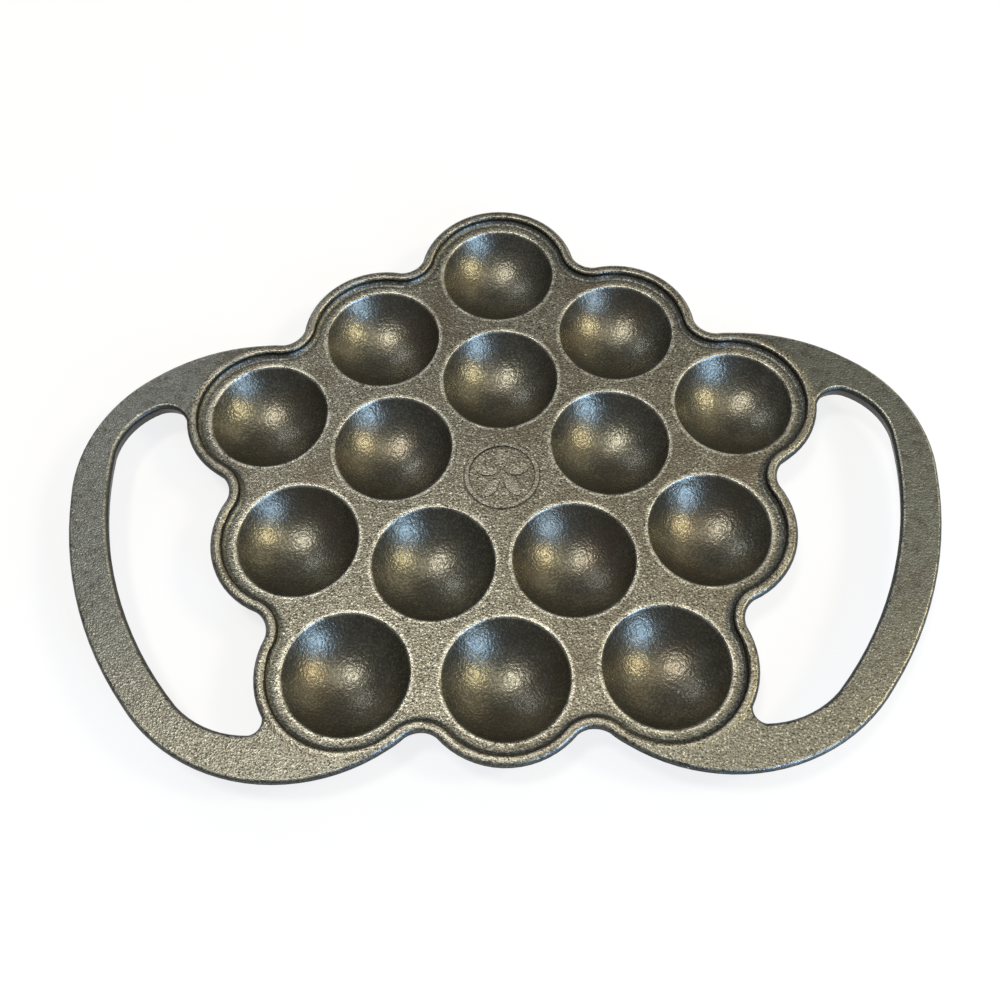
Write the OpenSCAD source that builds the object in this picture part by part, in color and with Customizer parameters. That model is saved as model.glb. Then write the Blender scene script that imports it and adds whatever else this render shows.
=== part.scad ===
// Poffertjes pan, cast in one piece: a flat plate with fifteen round wells set in a
// five-sided pattern, a raised rim that follows the outer wells in lobes, and a loop
// handle at each side. X runs across the handles, Y from front to back, and Z up.

/* [Wells] */
// Distance between the centres of neighbouring wells
well_pitch = 56.4; // [55:0.1:64]
// Diameter of each well where it meets the plate
well_d = 50; // [42:0.5:51]
// Depth of each well below the plate
well_depth = 14; // [10:0.5:20]
// Radius of the rounded lip of each well
lip_r = 1; // [0.4:0.1:1.5]

/* [Plate and underside] */
// Thickness of the plate between the wells
plate_t = 4; // [3:0.1:6]
// Thickness of the metal round each well
wall_t = 4; // [3:0.1:5]
// Diameter of the flat foot under each well
foot_d = 16; // [10:0.5:20]
// Radius of the fillet where each well's underside leaves the plate
root_r = 1.4; // [0.4:0.1:2]

/* [Rim] */
// Height of the rim above the plate
rim_h = 3.6; // [2.5:0.1:3.9]
// Width of the flat land between each outer well and the rim
land_w = 2.9; // [2:0.1:5]
// Radius of the fillet at the foot of the rim
rim_fillet = 2.6; // [2.3:0.1:4]
// Radius of the rounded inner edge of the rim
rim_round = 1.4; // [1.1:0.1:2]
// Width of the flat on top of the rim
rim_flat = 1; // [1:0.1:4]
// Radius of the rounded upper edge round the outside of the casting
edge_round = 2; // [1:0.1:2.6]
// How far the outer wall leans in on its way down to the underside
edge_lean = 1.5; // [0.2:0.1:1.8]
// Radius of the notch between two neighbouring lobes
notch_r = 10; // [6:0.1:12]

/* [Handles] */
// How far each handle reaches out past the lobe beside it
handle_reach = 44.4; // [36:0.1:60]
// Width of the handle at its outermost point
grip_w = 15.9; // [11:0.1:20]
// Radius of the handle's outer edge round the grip
grip_r = 62.3; // [50:0.1:64]
// How far in front of the wells beside the handles the grip is centred
grip_y = 32.7; // [30:0.1:40]
// Direction in which the outer edge leaves the lobe behind the grip
shoulder_dir = 92.5; // [85:0.1:98]
// Radius of the outer edge along the handle's flank
flank_r = 158; // [120:1:260]
// Radius of the outer edge round the handle's front
front_r = 74.7; // [60:0.1:90]
// Direction in which the outer edge leaves the lobe in front of the grip
front_dir = 234.2; // [225:0.1:250]

/* [Handle openings] */
// Radius of the opening's end behind the grip
open_rear_r = 26.7; // [20:0.1:32]
// How far in front of the wells beside the handles that end is centred
open_rear_y = 21.4; // [16:0.1:26]
// Radius of the opening's rear corner against the rim
rear_corner_r = 9.9; // [6:0.1:12]
// Radius of the opening's outer side
open_flank_r = 153.7; // [110:0.1:240]
// Radius of the opening's front end
open_front_r = 39.8; // [32:0.1:46]
// Width of the handle in front of the opening
front_w = 18.8; // [12:0.1:24]
// How far outwards of the handle's front arc the opening's front end is centred
front_shift = 11.5; // [5:0.1:18]
// Radius of the opening's front corner against the rim
front_corner_r = 5.3; // [4:0.1:9]

/* [Centre ornament] */
// Outer diameter of the raised ring
ring_d = 31; // [20:0.5:40]
// Width of the raised ring
ring_w = 1.6; // [1:0.1:3]
// Height of the ornament above the plate
relief_h = 0.7; // [0.2:0.1:1]
// Length of each petal inside the ring
petal_l = 9.6; // [5:0.1:10]
// Width of each petal
petal_w = 4.4; // [2:0.1:6]
// Distance from the centre to the inner tip of each petal
petal_gap = 2.6; // [1:0.1:4]

/* [Hidden] */
$fn = 96;

iron = "#4d4b46";
corners = 5;
lobes = 2 * corners;
turn = 360 / lobes;

// The three rings of wells, each well one pitch from its neighbours in the next ring
inner_ring = well_pitch / (2 * sin(180 / corners));
corner_ring = inner_ring + well_pitch;
side_ring = inner_ring * cos(180 / corners) + well_pitch * sin(60);

// Each well is a cap of a sphere, and its lip rounds over onto the plate
well_r = well_d / 2;
ball_r = (well_r * well_r + well_depth * well_depth) / (2 * well_depth);
ball_z = ball_r - well_depth;
shell_r = ball_r + wall_t;
foot_r = foot_d / 2;
lip_x = sqrt(pow(ball_r + lip_r, 2) - pow(ball_z + lip_r, 2));

// Heights above the surface that the feet stand on
plate_z = sqrt(shell_r * shell_r - foot_r * foot_r) - ball_z;
under_z = plate_z - plate_t;
rim_z = plate_z + rim_h;
shell_z = plate_z + ball_z;

// The root fillet is limited by the room between two neighbouring wells
root_rise = shell_z - under_z;
function root_x(r) = sqrt(pow(shell_r + r, 2) - pow(root_rise + r, 2));
root_room = (well_pitch * well_pitch / 4 - shell_r * shell_r + root_rise * root_rise)
    / (2 * (shell_r - root_rise));
root = max(0.05, min(root_r, 0.8 * root_room));
root_edge = (root_x(root) + well_pitch / 2) / 2;

// Distances in from the outer edge, across the rim to the land inside it
meeting = 0.98;
rim_rise = meeting * (rim_fillet + rim_round) - rim_h;
rim_run = sqrt(pow(rim_fillet + rim_round, 2) - rim_rise * rim_rise);
rim_top = edge_round + rim_flat;
rim_foot = rim_top + rim_run;
lobe_r = well_r + land_w + rim_foot;
function over_flat(t) = edge_round + t * rim_flat;
function over_land(t) = rim_foot + t * land_w;

cut = 1;
sagitta = 0.06;
tuck = 0.1;
wall_turn = 7.5;

function polar(r, a) = [r * cos(a), r * sin(a)];
function heading(v) = atan2(v.y, v.x);
function full_turn(a) = a - 360 * floor(a / 360);

// Point at distance ra from a and rb from b, to the left (1) or right (-1) of a to b
function meet(a, ra, b, rb, side) =
    let(v = b - a, d = norm(v), u = v / d)
    let(along = (ra * ra - rb * rb + d * d) / (2 * d))
    a + along * u + side * sqrt(ra * ra - along * along) * [-u.y, u.x];

// An arc is [centre, radius, tuck], with a negative radius where the metal is outside it.
// The tuck sets the flatter arc of two a hair deeper, so that their surfaces cross.
// Where two arcs of a loop touch, the point divides their centres by their radii.
function touch(a, b) = (a[0] * b[1] - b[0] * a[1]) / (b[1] - a[1]);

// Rim loop: a lobe round each outer well and a notch between each two
function lobe_at(i) = polar(i % 2 == 0 ? corner_ring : side_ring, 90 + turn * i);
function lobe(i) = [lobe_at(i), lobe_r, 0];
function notch(i) =
    let(d = lobe_r + notch_r)
    [meet(lobe_at(i), d, lobe_at(i + 1), d, -1), -notch_r, 1.5];
function lobe_run(first, last) =
    [for (i = [first:last]) each i < last ? [lobe(i), notch(i)] : [lobe(i)]];
rim_loop = [for (i = [0:lobes - 1]) each [lobe(i), notch(i)]];

// Lobes beside the right handle: in front of its opening, and behind it
front_lobe = 6;
rear_lobe = 8;

// Directions in which the handle leaves its two lobes, clear of the notches beyond them
leave = 1.5;
front_leave = max(front_dir,
    full_turn(heading(notch(front_lobe - 1)[0] - lobe_at(front_lobe))) + leave);
rear_leave = min(shoulder_dir,
    full_turn(heading(notch(rear_lobe)[0] - lobe_at(rear_lobe))) - leave);

// Outer edge of the right handle, from its front round to its shoulder
function handle_grip() =
    [[lobe_at(rear_lobe).x + lobe_r + handle_reach - grip_r, lobe_at(rear_lobe).y - grip_y],
        grip_r, 1];
function handle_front() =
    [lobe_at(front_lobe) - polar(front_r - lobe_r, front_leave), front_r, 1];
function handle_flank() =
    let(a = handle_front(), b = handle_grip())
    [meet(a[0], flank_r - a[1], b[0], flank_r - b[1], 1), flank_r, 2];
function handle_shoulder() =
    let(d = lobe_at(rear_lobe) - handle_grip()[0], e = lobe_r - grip_r)
    let(t = (d * d - e * e) / (2 * (d * polar(1, rear_leave) + e)))
    [lobe_at(rear_lobe) - polar(t, rear_leave), t + lobe_r, 2];
handle_arcs = [handle_front(), handle_flank(), handle_grip(), handle_shoulder()];

// Outer side of the right handle's opening, from behind the grip round to its front
function open_rear() =
    [[handle_grip()[0].x + grip_r - grip_w - open_rear_r, lobe_at(rear_lobe).y - open_rear_y],
        -open_rear_r, 1.5];
function open_front() =
    [handle_front()[0] + [front_shift, open_front_r + front_w - front_r], -open_front_r, 1.5];
function open_flank() =
    let(a = open_rear(), b = open_front())
    [meet(a[0], open_flank_r + a[1], b[0], open_flank_r + b[1], -1), -open_flank_r, 0.5];
function rear_corner() =
    [meet(lobe_at(rear_lobe), lobe_r + rear_corner_r,
        open_rear()[0], open_rear_r - rear_corner_r, 1), -rear_corner_r, 2.5];
function front_corner() =
    [meet(open_front()[0], open_front_r - front_corner_r,
        lobe_at(front_lobe), lobe_r + front_corner_r, 1), -front_corner_r, 2.5];
open_arcs = [rear_corner(), open_rear(), open_flank(), open_front(), front_corner()];

// The same arcs on the left, in the order that keeps the metal on the left hand
function mirrored(arcs) =
    [for (i = [len(arcs) - 1:-1:0]) [[-arcs[i][0].x, arcs[i][0].y], arcs[i][1], arcs[i][2]]];

outer_loop = concat(
    lobe_run(rear_lobe, rear_lobe + 4), mirrored(handle_arcs),
    lobe_run(rear_lobe + 6, rear_lobe + 8), handle_arcs);
right_loop = concat(lobe_run(front_lobe, rear_lobe), open_arcs);
left_loop = mirrored(right_loop);

// The casting is moved so that its outline is centred on the origin
front_reach = max(side_ring + lobe_r, -handle_front()[0].y + front_r);
shift_y = (front_reach - corner_ring - lobe_r) / 2;

// Points of a loop moved in from its edge, as chords that hardly leave the arcs
function arc_points(before, arc, after, inset) =
    let(r = arc[1] - inset, s = sign(arc[1]))
    let(a = heading(s * (touch(before, arc) - arc[0])))
    let(b = heading(s * (touch(arc, after) - arc[0])))
    let(angle = full_turn(s * (b - a)))
    let(steps = ceil(angle / (2 * acos(1 - sagitta / abs(r)))))
    [for (k = [0:steps - 1]) arc[0] + polar(r, a + s * angle * k / steps)];
function loop_points(loop, inset) =
    let(n = len(loop))
    [for (i = [0:n - 1]) each
        arc_points(loop[(i + n - 1) % n], loop[i], loop[(i + 1) % n], inset)];

// How far past its joint with another arc an arc runs on inside the other's metal
function run_on(arc, other, at, side) =
    let(bend = 1 / (arc[1] - at) - 1 / (other[1] - at))
    side * bend < 0 ? 0 : 1.6 * sqrt(2 * tuck * abs(arc[2] - other[2]) / abs(bend));

// Sweeps a section round a loop; its X runs from the edge into the metal. The side is 1
// for the outside edge, and -1 for a section whose open side lies inwards at a depth.
module sweep(loop, side, at) {
    n = len(loop);
    for (i = [0:n - 1]) {
        before = loop[(i + n - 1) % n];
        arc = loop[i];
        after = loop[(i + 1) % n];
        depth = tuck * arc[2];
        a = heading(touch(before, arc) - arc[0]);
        b = heading(touch(arc, after) - arc[0]);
        degrees = 180 / (PI * abs(arc[1] - at));
        more_a = degrees * run_on(arc, before, at, side);
        more_b = degrees * run_on(arc, after, at, side);
        translate(arc[0])
            if (arc[1] > 0)
                rotate_extrude(angle = full_turn(b - a) + more_a + more_b, start = a - more_a)
                    translate([arc[1] - depth, 0])
                        mirror([1, 0])
                            children();
            else
                rotate_extrude(angle = full_turn(a - b) + more_a + more_b, start = b - more_b)
                    translate([depth - arc[1], 0])
                        children();
    }
}

// Outside edge of the casting: rounded above, and leaning in below the rounding
module edge_section() {
    end = over_flat(0.8);
    centre = [edge_round, rim_z - edge_round * meeting];
    difference() {
        polygon([
            [edge_lean, under_z],
            [0, centre.y],
            [0, rim_z],
            [end, rim_z],
            [end, under_z]
        ]);
        difference() {
            translate([-cut, centre.y])
                square([edge_round + cut, edge_round + cut]);
            translate(centre)
                circle(edge_round);
        }
    }
}

// Inside of the rim: rounded edge, short wall, then a fillet down to the land
module rim_section() {
    start = over_flat(0.2);
    end = over_land(0.5);
    top_centre = [rim_top, rim_z - rim_round * meeting];
    foot_centre = [rim_foot, plate_z + rim_fillet * meeting];
    across = heading(foot_centre - top_centre);
    middle = top_centre + polar(rim_round, across);
    slope = tan(across + wall_turn - 90);
    difference() {
        union() {
            polygon([
                [start, under_z],
                [start, rim_z],
                [middle.x + (rim_z - middle.y) / slope, rim_z],
                [middle.x + (plate_z - middle.y) / slope, plate_z],
                [end, plate_z],
                [end, under_z]
            ]);
            difference() {
                polygon([
                    foot_centre,
                    foot_centre + polar(rim_fillet + rim_round / 2, across + wall_turn + 180),
                    [middle.x, plate_z - cut],
                    [rim_foot, plate_z - cut]
                ]);
                translate(foot_centre)
                    circle(rim_fillet);
            }
        }
        difference() {
            polygon([
                top_centre,
                top_centre + polar(3 * rim_round, across + wall_turn),
                [rim_top, rim_z + 2 * cut]
            ]);
            translate(top_centre)
                circle(rim_round);
        }
    }
}

module rim() {
    color(iron)
        sweep(rim_loop, -1, rim_foot)
            rim_section();
}

module plate() {
    color(iron)
        translate([0, 0, under_z])
            linear_extrude(plate_t)
                polygon(loop_points(rim_loop, over_land(0.25)));
}

module handles() {
    color(iron) {
        for (loop = [outer_loop, right_loop, left_loop])
            sweep(loop, 1, 0)
                edge_section();
        translate([0, 0, under_z])
            linear_extrude(rim_z - under_z)
                difference() {
                    polygon(loop_points(outer_loop, over_flat(0.6)));
                    polygon(loop_points(right_loop, over_flat(0.6)));
                    polygon(loop_points(left_loop, over_flat(0.6)));
                    polygon(loop_points(rim_loop, over_flat(0.4)));
                }
    }
}

// Underside of one well: a bowl with a flat foot and a fillet at its root
module bowl() {
    color(iron)
        rotate_extrude()
            difference() {
                union() {
                    intersection() {
                        translate([0, shell_z])
                            circle(shell_r);
                        square([shell_r, under_z + plate_t / 2]);
                    }
                    polygon([
                        [0, under_z + plate_t / 2],
                        [0, shell_z - root_rise - root],
                        [root_x(root), under_z - root],
                        [root_edge, under_z],
                        [root_edge, under_z + plate_t / 2]
                    ]);
                }
                translate([root_x(root), under_z - root])
                    circle(root);
            }
}

// Hollow of one well, opened out by its lip
module hollow() {
    rise = (cut + lip_r) / (ball_z + lip_r);
    rotate_extrude()
        difference() {
            union() {
                intersection() {
                    translate([0, shell_z])
                        circle(ball_r);
                    square([ball_r, plate_z + cut]);
                }
                polygon([
                    [lip_x, plate_z - lip_r],
                    [lip_x, plate_z + cut],
                    [lip_x * (1 - rise), plate_z + cut]
                ]);
            }
            translate([lip_x, plate_z - lip_r])
                circle(lip_r);
        }
}

module at_wells() {
    for (i = [0:corners - 1]) {
        translate(polar(inner_ring, 90 + 2 * turn * i))
            children();
        translate(lobe_at(2 * i))
            children();
        translate(lobe_at(2 * i + 1))
            children();
    }
}

// A ring with five leaf-shaped petals, low on the plate between the inner wells
module ornament() {
    leaf_r = (petal_l * petal_l + petal_w * petal_w) / (4 * petal_w);
    color(iron)
        translate([0, 0, plate_z - plate_t / 2])
            linear_extrude(plate_t / 2 + relief_h) {
                difference() {
                    circle(d = ring_d);
                    circle(d = ring_d - 2 * ring_w);
                }
                for (i = [0:corners - 1])
                    rotate(90 + 2 * turn * i)
                        translate([petal_gap + petal_l / 2, 0])
                            intersection_for(side = [-1, 1])
                                translate([0, side * (leaf_r - petal_w / 2)])
                                    circle(leaf_r);
            }
}

module pan() {
    translate([0, shift_y, 0]) {
        difference() {
            union() {
                plate();
                rim();
                handles();
                at_wells()
                    bowl();
            }
            at_wells()
                hollow();
        }
        ornament();
    }
}

pan();
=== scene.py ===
"""Looks of a cast-iron poffertjes pan: the dressed casting, its floor, lamps and camera."""

import math
from types import SimpleNamespace

import bmesh
import bpy
from mathutils import Euler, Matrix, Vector


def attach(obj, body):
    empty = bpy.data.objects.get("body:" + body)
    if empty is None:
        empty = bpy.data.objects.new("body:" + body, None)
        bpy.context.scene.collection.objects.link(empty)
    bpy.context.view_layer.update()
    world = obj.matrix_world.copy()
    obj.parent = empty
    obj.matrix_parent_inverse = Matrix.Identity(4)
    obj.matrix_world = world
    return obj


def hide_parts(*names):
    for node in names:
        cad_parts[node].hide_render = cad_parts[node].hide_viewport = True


bl_info = {
    "name": "Poffertjes pan",
    "version": (1, 0, 0),
    "blender": (4, 5, 0),
    "location": "View3D > Sidebar > Pan",
    "description": "Dresses a cast-iron pan with round wells and sets its stage",
    "category": "Object",
}

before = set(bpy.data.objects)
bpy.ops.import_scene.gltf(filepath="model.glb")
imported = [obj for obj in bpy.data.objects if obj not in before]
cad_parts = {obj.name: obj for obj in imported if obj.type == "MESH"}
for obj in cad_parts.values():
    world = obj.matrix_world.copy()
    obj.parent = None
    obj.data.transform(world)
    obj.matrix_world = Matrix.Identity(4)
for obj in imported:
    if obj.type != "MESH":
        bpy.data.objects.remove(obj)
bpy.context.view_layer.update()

# Sizes of the casting in millimetres, as the frame has them
WELL_PITCH = 56.4
WELL_RADIUS = 25.0
PLATE_Z = 17.0254
RIM_Z = PLATE_Z + 3.6
RING_RADIUS = 15.5
RING_WIDTH = 1.6
CENTRE_Y = -6.2060
LOBE_RADIUS = 34.8872
NOTCH_RADIUS = 10.0
TENTH = math.radians(36)
INNER_RING = WELL_PITCH / (2 * math.sin(TENTH))
CORNER_RING = INNER_RING + WELL_PITCH
SIDE_RING = INNER_RING * math.cos(TENTH) + WELL_PITCH * math.sin(math.radians(60))

# Sizes of the iron's coarser patterns in millimetres
GRIT = 3.2
BLOTS = 8.0
PATCHES = 30.0
CRUMB_SPACING = 14.0

# Where the painted shade on the outer slopes ends, in millimetres in from the rim's edge
SLOPE_SHADE_END = (2.8, 2.2)

# Smooth bands in millimetres: where each fades in, where it fades out, and its strength.
# They lie in from the rim's edge, round a well, off the ring's middle line, and in height.
# Rubbed wear with a painted highlight along the rim's crest
CREST = (2.1, 2.6), (3.6, 3.1), 0.8
# Painted shade in the rim's cove
COVE = (4.0, 6.0), (8.2, 6.6), 0.6
# A painted highlight, with some rubbed wear, round each well's lip
LIP = (WELL_RADIUS - 0.8, WELL_RADIUS - 0.1), (WELL_RADIUS + 1.8, WELL_RADIUS + 0.7), 1.0
BESIDE_RING = (
    (RING_WIDTH / 2 - 0.2, RING_WIDTH / 2 + 0.1),
    (RING_WIDTH / 2 + 0.9, RING_WIDTH / 2 + 0.3), 0.6)
# Rubbed wear with a painted highlight along the top edges of the rim and the handles
ARRIS = (RIM_Z - 0.45, RIM_Z - 0.2), (RIM_Z - 0.004, RIM_Z - 0.03), 1.0

MERGE_DISTANCE = 1e-6
SHARP_ANGLE = math.radians(30)

# Each lamp's name, place, width and height in metres, power in watts and colour; all of
# them look at the middle of the pan
LAMP_AIM = Vector((0, 0, 0.015))
LAMPS = (
    ("overhead lamp", (-0.470, 0.031, 2.398), 0.47, 0.47, 26, "#faf7f0"),
    ("warm lamp", (2.588, -0.091, 2.490), 0.75, 0.75, 53, "#fff2cc"),
    ("cool lamp", (-0.789, 0.985, 1.036), 0.35, 0.35, 2.4, "#eef4ff"),
    ("window lamp", (1.2, -1.3, 0.8), 0.62, 1.24, 26, "#a6ccff"),
    ("ceiling lamp", (0.55, 0.15, 2.2), 1.5, 1.5, 7, "#fff8e6"),
    ("fill lamp", (1.9, 1.5, 1.1), 1.8, 1.8, 8, "#fff2cc"),
)


def linear(code):
    """Turns an sRGB hex colour into the linear, opaque colour that a socket takes."""
    channels = [int(code[i:i + 2], 16) / 255 for i in (1, 3, 5)]
    return tuple(
        c / 12.92 if c <= 0.04045 else ((c + 0.055) / 1.055) ** 2.4 for c in channels
    ) + (1.0,)


def add(tree, kind, inputs=None, **settings):
    """Adds a node with its settings, and links or fills its inputs."""
    made = tree.nodes.new("ShaderNode" + kind)
    for name, value in settings.items():
        setattr(made, name, value)
    for name, value in (inputs or {}).items():
        if isinstance(value, bpy.types.Node):
            value = value.outputs[0]
        if isinstance(value, bpy.types.NodeSocket):
            tree.links.new(value, made.inputs[name])
        else:
            made.inputs[name].default_value = value
    return made


class PAN_PG_casting(bpy.types.PropertyGroup):
    """Colours, grain and sheen of the casting."""

    plate_colour: bpy.props.StringProperty(
        name="Plate colour", description="sRGB hex colour of the sandy plate",
        default="#7c7869")
    # Also the painted highlight, with some wear, round the wells' lips
    speck_colour: bpy.props.StringProperty(
        name="Speck colour",
        description="sRGB hex colour of the rubbed tops of the grain and the wells' lips",
        default="#c6c3b4")
    pit_colour: bpy.props.StringProperty(
        name="Pit colour", description="sRGB hex colour of the pits between the grains",
        default="#393630")
    well_colour: bpy.props.StringProperty(
        name="Well colour", description="sRGB hex colour inside the wells", default="#5e5c51")
    handle_colour: bpy.props.StringProperty(
        name="Handle colour", description="sRGB hex colour of the handles",
        default="#696c67")
    # Painted shade on the faces that look down
    under_shade_colour: bpy.props.StringProperty(
        name="Under colour", description="sRGB hex colour of the underside",
        default="#4f4d47")
    # Painted shade: a dark bluish grey standing in for shade on the outer slopes and in the
    # rim's cove
    slope_shade_colour: bpy.props.StringProperty(
        name="Slope colour",
        description="sRGB hex colour of the rounded outer slopes and of the rim's cove",
        default="#3f4546")
    stain_colour: bpy.props.StringProperty(
        name="Stain colour", description="sRGB hex colour of the browner patches of burnt oil",
        default="#63594a")
    # Painted shade that blackens the steep walls
    wall_shade_colour: bpy.props.StringProperty(
        name="Wall colour", description="sRGB hex colour of the steep walls",
        default="#23221f")
    # Rubbed wear with a painted highlight on the rim's crest, the top edges and the raised
    # ring
    wear_and_highlight_colour: bpy.props.StringProperty(
        name="Worn colour", description="sRGB hex colour where edges are rubbed bright",
        default="#a8a496")
    crumb_colour: bpy.props.StringProperty(
        name="Crumb colour", description="sRGB hex colour of the crumbs of worn seasoning",
        default="#d8d4c6")
    plate_grain: bpy.props.FloatProperty(
        name="Plate grain", description="Size of the sand grain on the plate",
        default=0.0008, unit="LENGTH", precision=5)
    well_grain: bpy.props.FloatProperty(
        name="Well grain", description="Size of the orange peel in the wells",
        default=0.0010, unit="LENGTH", precision=5)
    plate_relief: bpy.props.FloatProperty(
        name="Plate relief", description="Height of the sand grain on the plate",
        default=0.00022, unit="LENGTH", precision=5)
    well_relief: bpy.props.FloatProperty(
        name="Well relief", description="Height of the orange peel in the wells",
        default=0.00018, unit="LENGTH", precision=5)
    crown_fall: bpy.props.FloatProperty(
        name="Crown fall", description="How far the rim's crown falls off to its edge",
        default=0.00042, unit="LENGTH", precision=5)
    metallic: bpy.props.FloatProperty(
        name="Metallic", description="How far the skin reflects as bare metal",
        default=0.9, subtype="FACTOR", min=0.0, max=1.0)
    plate_roughness: bpy.props.FloatProperty(
        name="Plate roughness", description="Roughness of the skin outside the wells",
        default=0.41, subtype="FACTOR", min=0.0, max=1.0)
    well_roughness: bpy.props.FloatProperty(
        name="Well roughness", description="Roughness of the smoother skin in the wells",
        default=0.35, subtype="FACTOR", min=0.0, max=1.0)


class PAN_PG_stage(bpy.types.PropertyGroup):
    """Camera, floor and even light."""

    lens: bpy.props.FloatProperty(
        name="Lens", description="Focal length of the camera on a 36 mm sensor",
        default=41.3, subtype="DISTANCE_CAMERA")
    camera_place: bpy.props.FloatVectorProperty(
        name="Camera place", description="Where the camera stands", size=3,
        default=(0.005609, -0.233713, 0.435498), unit="LENGTH", precision=5)
    camera_turn: bpy.props.FloatVectorProperty(
        name="Camera turn", description="How the camera is turned", size=3,
        default=tuple(math.radians(d) for d in (27.2847, 1.3960, -0.9560)),
        subtype="EULER")
    floor_colour: bpy.props.StringProperty(
        name="Floor colour", description="sRGB hex colour of the floor", default="#f4f4f4")
    floor_size: bpy.props.FloatProperty(
        name="Floor size", description="Side of the square floor", default=60.0, unit="LENGTH")
    floor_depth: bpy.props.FloatProperty(
        name="Floor depth", description="How far the floor lies below the pan's feet",
        default=0.0002, unit="LENGTH", precision=5)
    floor_glow: bpy.props.FloatProperty(
        name="Floor glow", description="Share of plain white where the floor is looked at",
        default=0.8, subtype="FACTOR", min=0.0, max=1.0)
    sky_colour: bpy.props.StringProperty(
        name="Sky colour", description="sRGB hex colour of the even light from all round",
        default="#f6f8ff")
    sky_level: bpy.props.FloatProperty(
        name="Sky level", description="Strength of the even light from all round",
        default=0.18)


def places(tree):
    """Gives millimetres from the middle of the plate, and how far each point is from the
    nearest well's centre, in from the rim's edge, and facing up."""
    place = add(tree, "TexCoord").outputs["Object"]
    mm = add(tree, "Mapping", {
        "Vector": place, "Location": (0, -CENTRE_Y, 0), "Scale": (1000, 1000, 1000)})
    x, y, z = add(tree, "SeparateXYZ", {0: mm}).outputs

    # The same folded into one tenth of the pan, from the line through a corner well to the
    # line through a side well
    flat = add(tree, "CombineXYZ", {"X": x, "Y": y})
    reach = add(tree, "VectorMath", {0: flat}, operation="LENGTH").outputs["Value"]
    turn = add(tree, "Math", {0: x, 1: y}, operation="ARCTAN2")
    angle = add(tree, "Math", {0: turn, 1: TENTH}, operation="PINGPONG")
    unit = add(tree, "CombineXYZ", {
        "X": add(tree, "Math", {0: angle}, operation="COSINE"),
        "Y": add(tree, "Math", {0: angle}, operation="SINE")})
    folded = add(tree, "VectorMath", {0: unit, "Scale": reach}, operation="SCALE")

    # How far the nearest well's centre is
    corner = Vector((CORNER_RING, 0, 0))
    side = Vector((SIDE_RING * math.cos(TENTH), SIDE_RING * math.sin(TENTH), 0))
    inner = Vector((INNER_RING, 0, 0))
    from_corner, from_side, from_inner = (
        add(tree, "VectorMath", {0: folded, 1: centre}, operation="DISTANCE").outputs["Value"]
        for centre in (corner, side, inner))
    from_outer = add(tree, "Math", {0: from_corner, 1: from_side}, operation="MINIMUM")
    nearest = add(tree, "Math", {0: from_outer, 1: from_inner}, operation="MINIMUM")

    # How far in from the rim's edge: round the lobes, and round the notch between two
    chord = side - corner
    across = Vector((chord.y, -chord.x, 0)).normalized()
    rise = math.sqrt((LOBE_RADIUS + NOTCH_RADIUS) ** 2 - (chord.length / 2) ** 2)
    notch = (corner + side) / 2 + rise * across
    from_notch = add(tree, "VectorMath", {0: folded, 1: notch}, operation="SUBTRACT")
    heading = add(tree, "VectorMath", {0: from_notch}, operation="NORMALIZE")
    faced = add(tree, "VectorMath", {0: heading, 1: -across}, operation="DOT_PRODUCT")
    in_notch = add(tree, "Math", {
        0: faced.outputs["Value"], 1: rise / (LOBE_RADIUS + NOTCH_RADIUS)},
        operation="GREATER_THAN")
    away = add(tree, "VectorMath", {0: from_notch}, operation="LENGTH").outputs["Value"]
    inset = add(tree, "Mix", {
        0: in_notch,
        2: add(tree, "Math", {0: LOBE_RADIUS, 1: from_outer}, operation="SUBTRACT"),
        3: add(tree, "Math", {0: away, 1: NOTCH_RADIUS}, operation="SUBTRACT")})

    # Inside a well, on the side that faces up
    upright = add(tree, "SeparateXYZ", {
        0: add(tree, "NewGeometry").outputs["Normal"]}).outputs["Z"]
    in_well = add(tree, "Math", {
        0: add(tree, "MapRange", {
            "Value": nearest, "From Min": WELL_RADIUS + 0.3, "From Max": WELL_RADIUS - 0.7},
            interpolation_type="SMOOTHSTEP"),
        1: add(tree, "MapRange", {"Value": upright, "From Min": -0.05, "From Max": 0.05})},
        operation="MULTIPLY")
    return SimpleNamespace(
        mm=mm, y=y, z=z, reach=reach, nearest=nearest, inset=inset, upright=upright,
        in_well=in_well)


def grains(tree, casting, at):
    """Gives the noises: sand grain on the plate, orange peel in the wells, coarser grit,
    blots and broad patches."""
    made = {}
    for name, size, detail, roughness in (
        ("sand", 1000 * casting.plate_grain, 1.5, 0.5),
        ("peel", 1000 * casting.well_grain, 1.2, 0.5),
        ("grit", GRIT, 1.0, 0.5),
        ("blots", BLOTS, 3.0, 0.6),
        ("patches", PATCHES, 3.0, 0.6),
    ):
        made[name] = add(tree, "TexNoise", {
            "Vector": at.mm, "Scale": 1 / size, "Detail": detail, "Roughness": roughness})
    return SimpleNamespace(**made)


def bands(tree, at):
    """Gives the bands that the painted shade, the darker line beside the ring, and the wear
    with its painted highlights lie in, each with smooth edges.
    """
    outwards = add(tree, "Math", {
        0: at.reach, 1: RING_RADIUS - RING_WIDTH / 2}, operation="SUBTRACT")
    from_ring = add(tree, "Math", {0: outwards}, operation="ABSOLUTE")
    made = {}
    for name, value, (rise, fall, strength) in (
        ("crest", at.inset, CREST),
        ("cove", at.inset, COVE),
        ("lip", at.nearest, LIP),
        ("beside_ring", from_ring, BESIDE_RING),
        ("arris", at.z, ARRIS),
    ):
        fade_in = add(tree, "MapRange", {
            "Value": value, "From Min": rise[0], "From Max": rise[1]},
            interpolation_type="SMOOTHSTEP")
        fade_out = add(tree, "MapRange", {
            "Value": value, "From Min": fall[0], "From Max": fall[1], "To Max": strength},
            interpolation_type="SMOOTHSTEP")
        made[name] = add(tree, "Math", {0: fade_in, 1: fade_out}, operation="MULTIPLY")
    return SimpleNamespace(**made)


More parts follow.
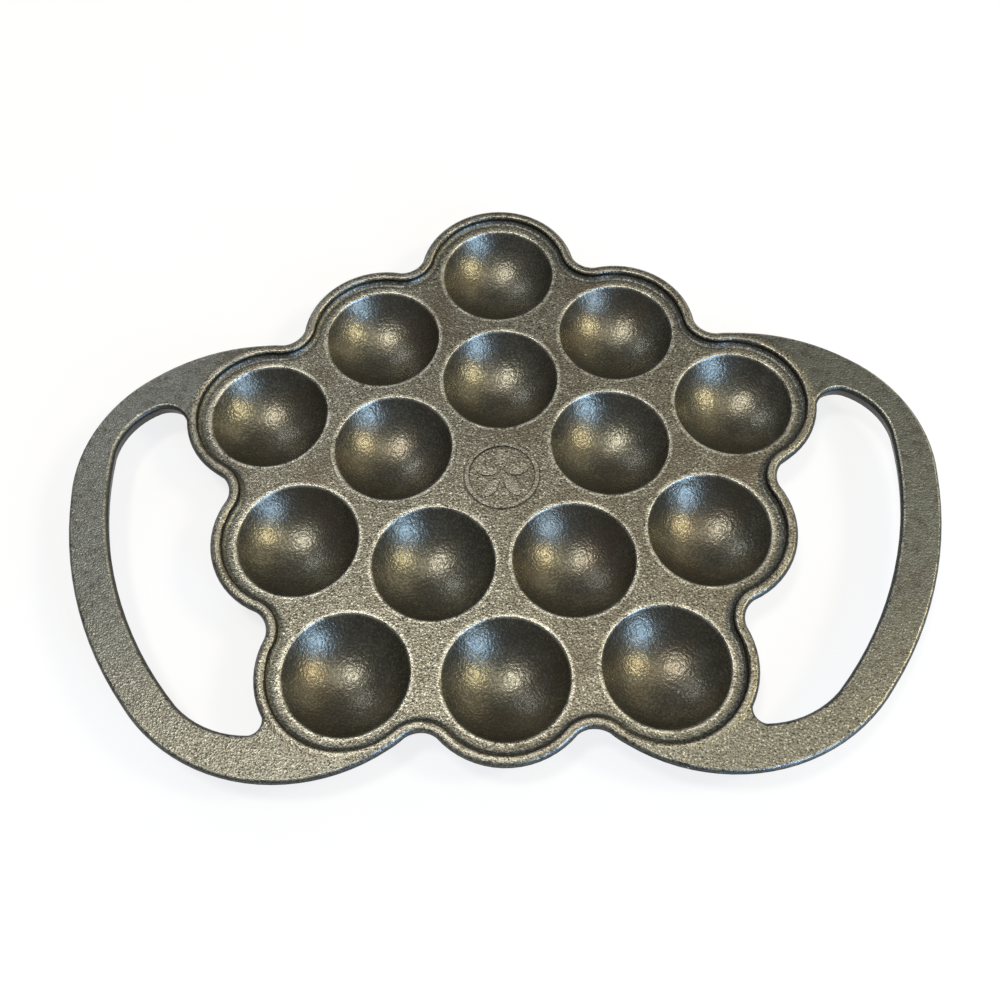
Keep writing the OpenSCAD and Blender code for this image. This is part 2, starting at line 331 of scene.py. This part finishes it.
def skin_colour(tree, casting, at, grain):
    """Gives the clean skin's colour: dark pits and rubbed tops in the plate's sand grain,
    softer ones in the wells, and a grey, mottled skin on the handles that is more grey towards
    their back as a painted sheen."""
    plate = add(tree, "Mix", {
        0: add(tree, "MapRange", {"Value": grain.sand, "From Min": 0.46, "From Max": 0.30},
               interpolation_type="SMOOTHSTEP"),
        6: linear(casting.plate_colour), 7: linear(casting.pit_colour)}, data_type="RGBA")
    plate = add(tree, "Mix", {
        0: add(tree, "MapRange", {"Value": grain.sand, "From Min": 0.56, "From Max": 0.72},
               interpolation_type="SMOOTHSTEP"),
        6: plate.outputs[2], 7: linear(casting.speck_colour)}, data_type="RGBA")

    # Greyer towards the back of the handles as a painted sheen, and not inside the rim
    back_sheen = add(tree, "MapRange", {
        "Value": at.y, "From Min": -105, "From Max": -55, "To Min": 0.25, "To Max": 0.78})
    bare = add(tree, "MapRange", {
        "Value": at.inset, "From Min": 1.8, "From Max": 0.4, "To Max": back_sheen})
    handle = add(tree, "Mix", {
        0: add(tree, "MapRange", {
            "Value": grain.grit, "From Min": 0.52, "From Max": 0.30, "To Max": 0.55}),
        6: linear(casting.handle_colour), 7: linear(casting.pit_colour)}, data_type="RGBA")
    plate = add(tree, "Mix", {
        0: bare, 6: plate.outputs[2], 7: handle.outputs[2]}, data_type="RGBA")

    well = linear(casting.well_colour)
    for noise, low, high, most, colour in (
        (grain.blots, 0.40, 0.66, 0.4, casting.plate_colour),
        (grain.peel, 0.50, 0.25, 0.30, casting.pit_colour),
        (grain.peel, 0.50, 0.80, 0.22, casting.speck_colour),
    ):
        share = add(tree, "MapRange", {
            "Value": noise, "From Min": low, "From Max": high, "To Max": most})
        well = add(tree, "Mix", {
            0: share, 6: well, 7: linear(colour)}, data_type="RGBA").outputs[2]
    return add(tree, "Mix", {
        0: at.in_well, 6: plate.outputs[2], 7: well}, data_type="RGBA").outputs[2]


def stain_and_shade_layers(tree, casting, at, grain, band):
    """Gives the darker layers, first to last, as pairs of a share and a colour: stains of
    burnt oil, painted shade on the slopes, the cove, the steep walls and the underside, and a
    darker line beside the ring.
    """
    # Browner patches of burnt oil, fewer on the handles
    cooked = add(tree, "MapRange", {
        "Value": at.inset, "From Min": -1.0, "From Max": 2.0, "To Min": 0.15, "To Max": 0.6})
    stained = add(tree, "MapRange", {
        "Value": grain.patches, "From Min": 0.46, "From Max": 0.70, "To Max": cooked},
        interpolation_type="SMOOTHSTEP")

    # Painted shade on the rounded slopes down from the rim and the handles
    tilted = add(tree, "MapRange", {
        "Value": at.upright, "From Min": 0.998, "From Max": 0.93, "To Max": 0.62},
        interpolation_type="SMOOTHSTEP")
    down = add(tree, "MapRange", {
        "Value": at.inset, "From Min": SLOPE_SHADE_END[0], "From Max": SLOPE_SHADE_END[1]},
        interpolation_type="SMOOTHSTEP")
    painted_slope_shade = add(tree, "Math", {0: tilted, 1: down}, operation="MULTIPLY")

    # Painted shade: near black on the steep walls outside the wells, and darker on the
    # underside
    leaning = add(tree, "MapRange", {
        "Value": at.upright, "From Min": 0.60, "From Max": 0.15},
        interpolation_type="SMOOTHSTEP")
    outside = add(tree, "Math", {0: 1.0, 1: at.in_well}, operation="SUBTRACT")
    steep = add(tree, "Math", {0: leaning, 1: outside}, operation="MULTIPLY")
    # Painted shade on the faces that look down
    painted_underside_shade = add(tree, "MapRange", {"Value": at.upright, "From Min": -0.2, "From Max": -0.8})
    return [
        (stained, casting.stain_colour),
        (painted_slope_shade, casting.slope_shade_colour),
        # Painted shade in the rim's cove
        (band.cove, casting.slope_shade_colour),
        (band.beside_ring, casting.pit_colour),
        (steep, casting.wall_shade_colour),
        (painted_underside_shade, casting.under_shade_colour),
    ]


def wear_and_highlight_layers(tree, casting, at, grain, band):
    """Gives the lighter layers, first to last, as pairs of a share and a colour: rubbed wear
    with a painted highlight, a painted highlight round the wells' lips, and pale crumbs.
    """
    # Top of the ring and its petals, lighter as rubbed wear with a painted highlight
    relieved = add(tree, "Math", {
        0: add(tree, "MapRange", {
            "Value": at.z, "From Min": PLATE_Z + 0.4, "From Max": PLATE_Z + 0.65,
            "To Max": 0.7}),
        1: add(tree, "Math", {0: at.reach, 1: RING_RADIUS + 0.5}, operation="LESS_THAN")},
        operation="MULTIPLY")

    # Rubbed unevenly along the rim's crest, the handles' edges and the wells' lips, with a
    # painted highlight on each
    uneven = add(tree, "MapRange", {
        "Value": add(tree, "Mix", {0: 0.5, 2: grain.sand, 3: grain.blots}),
        "From Min": 0.36, "From Max": 0.58, "To Max": 0.9}, interpolation_type="SMOOTHSTEP")
    rubbed = add(tree, "Math", {0: band.crest, 1: band.arris}, operation="MAXIMUM")
    rubbed = add(tree, "Math", {0: rubbed, 1: relieved}, operation="MAXIMUM")
    worn = add(tree, "Math", {0: rubbed, 1: uneven}, operation="MULTIPLY")
    # A painted highlight, with some rubbed wear, round the wells' lips
    lip_highlight = add(tree, "Math", {0: band.lip, 1: uneven}, operation="MULTIPLY")

    # A few pale crumbs of worn seasoning, under a millimetre across
    cells = add(tree, "TexVoronoi", {"Vector": at.mm, "Scale": 1 / CRUMB_SPACING})
    picked = add(tree, "Math", {
        0: add(tree, "SeparateColor", {0: cells.outputs["Color"]}), 1: 0.55},
        operation="GREATER_THAN")
    crumbs = add(tree, "Math", {
        0: add(tree, "MapRange", {
            "Value": cells.outputs["Distance"], "From Min": 0.034, "From Max": 0.022}),
        1: picked}, operation="MULTIPLY")
    return [
        (worn, casting.wear_and_highlight_colour),
        (lip_highlight, casting.speck_colour),
        (crumbs, casting.crumb_colour),
    ]


def relief(tree, casting, at, grain):
    """Gives the height in metres: sand grain on the plate, orange peel in the wells, coarser
    grit under both, and the rim's crown rounded off outwards."""
    heights = []
    for fine, coarse, height in (
        (grain.sand, 0.6, casting.plate_relief),
        (grain.peel, 0.5, casting.well_relief),
    ):
        under = add(tree, "Math", {0: grain.grit, 1: coarse}, operation="MULTIPLY")
        both = add(tree, "Math", {0: fine, 1: under}, operation="ADD")
        heights.append(add(tree, "Math", {0: both, 1: height}, operation="MULTIPLY"))
    skin = add(tree, "Mix", {0: at.in_well, 2: heights[0], 3: heights[1]})
    crown = add(tree, "MapRange", {
        "Value": at.inset, "From Min": -0.4, "From Max": 3.0,
        "To Min": -casting.crown_fall, "To Max": 0.0}, interpolation_type="SMOOTHSTEP")
    return add(tree, "Math", {0: skin, 1: crown}, operation="ADD")


def seasoned_cast_iron(casting):
    """Sand-cast iron with a burnt-in oil seasoning: a dark, satin, grainy skin that is sandy
    on the plate and smoother in the wells, with painted shade that makes its walls black and
    its slopes, cove and underside darker, and rubbed bright on edges with a painted highlight."""
    material = bpy.data.materials.new("seasoned cast iron")
    material.use_nodes = True
    tree = material.node_tree
    tree.nodes.clear()
    at = places(tree)
    grain = grains(tree, casting, at)
    band = bands(tree, at)
    colour = skin_colour(tree, casting, at, grain)
    layers = stain_and_shade_layers(tree, casting, at, grain, band)
    layers += wear_and_highlight_layers(tree, casting, at, grain, band)
    for share, layer in layers:
        colour = add(tree, "Mix", {
            0: share, 6: colour, 7: linear(layer)}, data_type="RGBA").outputs[2]
    bump = add(tree, "Bump", {
        "Height": relief(tree, casting, at, grain), "Strength": 1.0, "Distance": 1.0})
    rough = add(tree, "MapRange", {
        "Value": at.in_well, "To Min": casting.plate_roughness,
        "To Max": casting.well_roughness})
    shader = add(tree, "BsdfPrincipled", {
        "Base Color": colour, "Metallic": casting.metallic, "Roughness": rough,
        "Normal": bump})
    add(tree, "OutputMaterial", {"Surface": shader})
    return material


def matt_white_paint(stage):
    """Matt white paint that keeps the pan's shadow, and shows white where it is looked at
    directly or in the metal."""
    material = bpy.data.materials.new("matt white paint")
    material.use_nodes = True
    tree = material.node_tree
    tree.nodes.clear()
    matt = add(tree, "BsdfPrincipled", {
        "Base Color": linear(stage.floor_colour), "Roughness": 0.9})
    glow = add(tree, "Emission", {"Color": (1, 1, 1, 1), "Strength": 1.0})
    rays = add(tree, "LightPath").outputs
    seen = add(tree, "Math", {
        0: rays["Is Camera Ray"], 1: rays["Is Glossy Ray"]}, operation="MAXIMUM")
    seen = add(tree, "Math", {0: seen, 1: rays["Is Transmission Ray"]}, operation="MAXIMUM")
    share = add(tree, "Math", {0: seen, 1: stage.floor_glow}, operation="MULTIPLY")
    mixed = add(tree, "MixShader", {0: share, 1: matt, 2: glow})
    add(tree, "OutputMaterial", {"Surface": mixed})
    return material


class PAN_OT_casting(bpy.types.Operator):
    """Makes the casting's visible copy, smooth on its curves and dressed in seasoned iron"""

    bl_idname = "pan.casting"
    bl_label = "Casting"

    def execute(self, context):
        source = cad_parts["pan"]
        shape = bmesh.new()
        shape.from_mesh(source.data)
        bmesh.ops.remove_doubles(shape, verts=shape.verts, dist=MERGE_DISTANCE)
        bmesh.ops.dissolve_degenerate(shape, edges=shape.edges, dist=MERGE_DISTANCE / 10)
        for face in shape.faces:
            face.smooth = True
        for edge in shape.edges:
            if len(edge.link_faces) == 2:
                edge.smooth = edge.calc_face_angle() < SHARP_ANGLE
        mesh = bpy.data.meshes.new("casting")
        shape.to_mesh(mesh)
        shape.free()
        piece = bpy.data.objects.new("casting", mesh)
        context.scene.collection.objects.link(piece)
        weighted = piece.modifiers.new("even flats", "WEIGHTED_NORMAL")
        weighted.keep_sharp = True
        mesh.materials.append(seasoned_cast_iron(context.scene.pan_casting))
        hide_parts("pan")
        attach(piece, "root")
        return {"FINISHED"}


class PAN_OT_stage(bpy.types.Operator):
    """Sets out the floor, the even sky, the lamps and the camera"""

    bl_idname = "pan.stage"
    bl_label = "Stage"

    def execute(self, context):
        scene = context.scene
        stage = scene.pan_stage

        shape = bmesh.new()
        bmesh.ops.create_grid(shape, x_segments=1, y_segments=1, size=stage.floor_size / 2)
        bmesh.ops.translate(shape, verts=shape.verts, vec=(0, 0, -stage.floor_depth))
        mesh = bpy.data.meshes.new("floor")
        shape.to_mesh(mesh)
        shape.free()
        floor = bpy.data.objects.new("floor", mesh)
        scene.collection.objects.link(floor)
        mesh.materials.append(matt_white_paint(stage))

        world = bpy.data.worlds.new("even sky")
        world.use_nodes = True
        sky = world.node_tree
        sky.nodes.clear()
        even = add(sky, "Background", {
            "Color": linear(stage.sky_colour), "Strength": stage.sky_level})
        add(sky, "OutputWorld", {"Surface": even})
        scene.world = world

        for name, place, width, height, power, colour in LAMPS:
            data = bpy.data.lights.new(name, "AREA")
            data.shape = "ELLIPSE"
            data.size = width
            data.size_y = height
            data.energy = power
            data.color = linear(colour)[:3]
            lamp = bpy.data.objects.new(name, data)
            lamp.location = place
            aim = LAMP_AIM - Vector(place)
            lamp.rotation_euler = aim.to_track_quat("-Z", "Y").to_euler()
            scene.collection.objects.link(lamp)

        data = bpy.data.cameras.new("camera")
        data.sensor_width = 36
        data.lens = stage.lens
        data.clip_start = 0.01
        camera = bpy.data.objects.new("camera", data)
        camera.location = stage.camera_place
        camera.rotation_euler = Euler(stage.camera_turn)
        scene.collection.objects.link(camera)
        scene.camera = camera
        scene.view_settings.view_transform = "Standard"
        return {"FINISHED"}


class PAN_PT_tools(bpy.types.Panel):
    """Lists the steps that build the dressed pan"""

    bl_idname = "PAN_PT_tools"
    bl_label = "Poffertjes pan"
    bl_space_type = "VIEW_3D"
    bl_region_type = "UI"
    bl_category = "Pan"

    def draw(self, context):
        for step in (PAN_OT_casting, PAN_OT_stage):
            self.layout.operator(step.bl_idname)
        for group in (context.scene.pan_casting, context.scene.pan_stage):
            for name in group.__annotations__:
                self.layout.prop(group, name)


CLASSES = (PAN_PG_casting, PAN_PG_stage, PAN_OT_casting, PAN_OT_stage, PAN_PT_tools)


def register():
    for cls in CLASSES:
        bpy.utils.register_class(cls)
    bpy.types.Scene.pan_casting = bpy.props.PointerProperty(type=PAN_PG_casting)
    bpy.types.Scene.pan_stage = bpy.props.PointerProperty(type=PAN_PG_stage)


def unregister():
    del bpy.types.Scene.pan_stage
    del bpy.types.Scene.pan_casting
    for cls in reversed(CLASSES):
        bpy.utils.unregister_class(cls)


def main():
    register()
    bpy.ops.pan.casting()
    bpy.ops.pan.stage()


if __name__ == "__main__":
    main()
